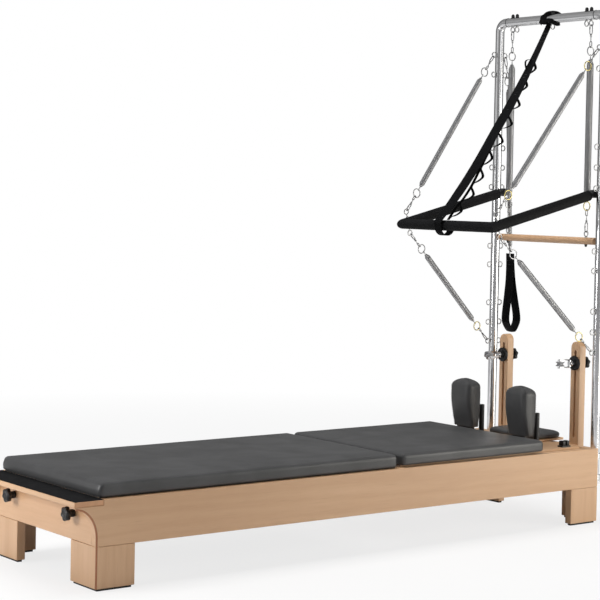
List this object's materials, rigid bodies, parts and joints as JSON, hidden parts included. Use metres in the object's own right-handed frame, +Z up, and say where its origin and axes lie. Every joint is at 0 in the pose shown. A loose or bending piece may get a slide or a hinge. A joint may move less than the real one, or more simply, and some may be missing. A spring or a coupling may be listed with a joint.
{
  "type": "pilates reformer with tower",
  "caption": "Wooden pilates reformer with a sliding padded carriage, shoulder rests, a mat insert and a steel tower with springs, push-through bar, roll-down bar and hand loops.",
  "frame": {"origin": "floor level under the centre of the bounding box", "axes": "+X from the foot end to the head end with the tower, +Y to the far side, +Z up"},
  "size_m": [2.6023, 0.731, 2.129],
  "materials": {
    "maple": "clear satin lacquer",
    "rubber": "matt",
    "upholstery": "grained, satin",
    "track_metal": "satin",
    "wheel_plastic": "satin",
    "black_plastic": "satin",
    "foam": "matt closed-cell foam",
    "black_steel": "satin black",
    "webbing": "woven",
    "steel": "polished"
  },
  "bodies": {
    "frame": {"rail_near": "maple", "rail_far": "maple", "leg_foot_near": "maple", "foot_pad_foot_near": "rubber", "leg_foot_far": "maple", "foot_pad_foot_far": "rubber", "leg_head_near": "maple", "foot_pad_head_near": "rubber", "leg_head_far": "maple", "foot_pad_head_far": "rubber", "front_board": "maple", "head_board": "maple", "standing_platform": "maple", "platform_grip": "rubber", "track_near": "track_metal", "track_far": "track_metal", "spring_bar": "steel", "riser_near": "maple", "riser_far": "maple", "tower_upright_near": "steel", "tower_upright_far": "steel", "tower_crossbar": "steel", "tower_bracket_near": "steel", "tower_bracket_far": "steel", "bar_spring_upper_near": "steel", "bar_spring_upper_far": "steel", "bar_spring_lower_near": "steel", "bar_spring_lower_far": "steel", "safety_strap": "webbing"},
    "mat": {"conversion_mat": "upholstery"},
    "carriage": {"carriage_deck": "maple", "carriage_pad": "upholstery", "carriage_springs": "steel"},
    "headrest": {"headrest_flap": "maple", "headrest_pad": "upholstery"},
    "push_bar": {"push_through_bar": "black_steel", "bar_foam": "foam"},
    "roll_down": {"roll_down_bar": "maple", "roll_down_spring_near": "steel", "roll_down_spring_far": "steel"},
    "wheel_foot_near_body": {"wheel_foot_near": "wheel_plastic"},
    "wheel_foot_far_body": {"wheel_foot_far": "wheel_plastic"},
    "wheel_head_near_body": {"wheel_head_near": "wheel_plastic"},
    "wheel_head_far_body": {"wheel_head_far": "wheel_plastic"},
    "rest_near": {"shoulder_rest_near": "upholstery"},
    "arm_near": {"arm_spring_near": "steel", "hand_loop_near": "webbing"},
    "hub_near": {"riser_hub_near": "black_plastic"},
    "fork_near": {"pulley_fork_near": "steel"},
    "sheave_near": {"pulley_sheave_near": "wheel_plastic"},
    "knob_near": {"riser_knob_near": "black_plastic"},
    "foot_knob_near": {"platform_knob_near": "black_plastic"},
    "rest_far": {"shoulder_rest_far": "upholstery"},
    "arm_far": {"arm_spring_far": "steel", "hand_loop_far": "webbing"},
    "hub_far": {"riser_hub_far": "black_plastic"},
    "fork_far": {"pulley_fork_far": "steel"},
    "sheave_far": {"pulley_sheave_far": "wheel_plastic"},
    "knob_far": {"riser_knob_far": "black_plastic"},
    "foot_knob_far": {"platform_knob_far": "black_plastic"}
  },
  "joints": [
    {"name": "carriage_slide", "type": "slide", "parent": "frame", "child": "carriage", "axis": [-1, 0, 0], "range_m": [0, 0.45]},
    {"name": "mat_slide", "type": "slide", "parent": "frame", "child": "mat", "axis": [-1, 0, 0], "range_m": [0, 0.45]},
    {"name": "headrest_tilt", "type": "hinge", "parent": "carriage", "child": "headrest", "pos_m": [0.97015, 0, 0.32], "axis": [0, -1, 0], "range_deg": [0, 20]},
    {"name": "push_bar_pivot", "type": "hinge", "parent": "frame", "child": "push_bar", "pos_m": [1.16915, 0, 1.357], "axis": [0, 1, 0], "range_deg": [0, 60], "deforming": ["bar_spring_upper_near", "bar_spring_upper_far", "bar_spring_lower_near", "bar_spring_lower_far", "safety_strap"]},
    {"name": "roll_down_swing", "type": "hinge", "parent": "frame", "child": "roll_down", "pos_m": [1.16915, 0, 2.066], "axis": [0, -1, 0], "range_deg": [-20, 35]},
    {"name": "wheel_foot_near_spin", "type": "hinge", "parent": "carriage", "child": "wheel_foot_near_body", "pos_m": [0.18415, -0.306, 0.2597], "axis": [0, -1, 0], "continuous": true},
    {"name": "wheel_foot_far_spin", "type": "hinge", "parent": "carriage", "child": "wheel_foot_far_body", "pos_m": [0.18415, 0.306, 0.2597], "axis": [0, -1, 0], "continuous": true},
    {"name": "wheel_head_near_spin", "type": "hinge", "parent": "carriage", "child": "wheel_head_near_body", "pos_m": [0.98615, -0.306, 0.2597], "axis": [0, -1, 0], "continuous": true},
    {"name": "wheel_head_far_spin", "type": "hinge", "parent": "carriage", "child": "wheel_head_far_body", "pos_m": [0.98615, 0.306, 0.2597], "axis": [0, -1, 0], "continuous": true},
    {"name": "shoulder_rest_lift_near", "type": "slide", "parent": "carriage", "child": "rest_near", "axis": [0, 0, 1], "range_m": [0, 0.12]},
    {"name": "arm_swing_near", "type": "hinge", "parent": "frame", "child": "arm_near", "pos_m": [1.20215, -0.319, 1.959], "axis": [0, -1, 0], "range_deg": [0, 40]},
    {"name": "riser_slide_near", "type": "slide", "parent": "frame", "child": "hub_near", "axis": [0, 0, 1], "range_m": [-0.26, 0.045]},
    {"name": "pulley_swivel_near", "type": "hinge", "parent": "hub_near", "child": "fork_near", "pos_m": [1.14115, -0.22, 0.648], "axis": [1, 0, 0], "continuous": true},
    {"name": "sheave_spin_near", "type": "hinge", "parent": "fork_near", "child": "sheave_near", "pos_m": [1.05385, -0.22, 0.648], "axis": [0, 0, 1], "continuous": true},
    {"name": "riser_knob_turn_near", "type": "hinge", "parent": "hub_near", "child": "knob_near", "pos_m": [1.17775, -0.22, 0.648], "axis": [1, 0, 0], "continuous": true},
    {"name": "platform_knob_turn_near", "type": "hinge", "parent": "frame", "child": "foot_knob_near", "pos_m": [-1.21915, -0.214, 0.242], "axis": [-1, 0, 0], "continuous": true},
    {"name": "shoulder_rest_lift_far", "type": "slide", "parent": "carriage", "child": "rest_far", "axis": [0, 0, 1], "range_m": [0, 0.12]},
    {"name": "arm_swing_far", "type": "hinge", "parent": "frame", "child": "arm_far", "pos_m": [1.20215, 0.319, 1.959], "axis": [0, -1, 0], "range_deg": [0, 40]},
    {"name": "riser_slide_far", "type": "slide", "parent": "frame", "child": "hub_far", "axis": [0, 0, 1], "range_m": [-0.26, 0.045]},
    {"name": "pulley_swivel_far", "type": "hinge", "parent": "hub_far", "child": "fork_far", "pos_m": [1.14115, 0.22, 0.648], "axis": [1, 0, 0], "continuous": true},
    {"name": "sheave_spin_far", "type": "hinge", "parent": "fork_far", "child": "sheave_far", "pos_m": [1.05385, 0.22, 0.648], "axis": [0, 0.8191, 0.5736], "continuous": true},
    {"name": "riser_knob_turn_far", "type": "hinge", "parent": "hub_far", "child": "knob_far", "pos_m": [1.17775, 0.22, 0.648], "axis": [1, 0, 0], "continuous": true},
    {"name": "platform_knob_turn_far", "type": "hinge", "parent": "frame", "child": "foot_knob_far", "pos_m": [-1.21915, 0.214, 0.242], "axis": [-1, 0, 0], "continuous": true}
  ],
  "couplings": [
    {"joint": "mat_slide", "follows": "carriage_slide", "ratio": 1},
    {"joint": "wheel_foot_near_spin", "follows": "carriage_slide", "rad_per_m": 40},
    {"joint": "wheel_foot_far_spin", "follows": "carriage_slide", "rad_per_m": 40},
    {"joint": "wheel_head_near_spin", "follows": "carriage_slide", "rad_per_m": 40},
    {"joint": "wheel_head_far_spin", "follows": "carriage_slide", "rad_per_m": 40}
  ]
}
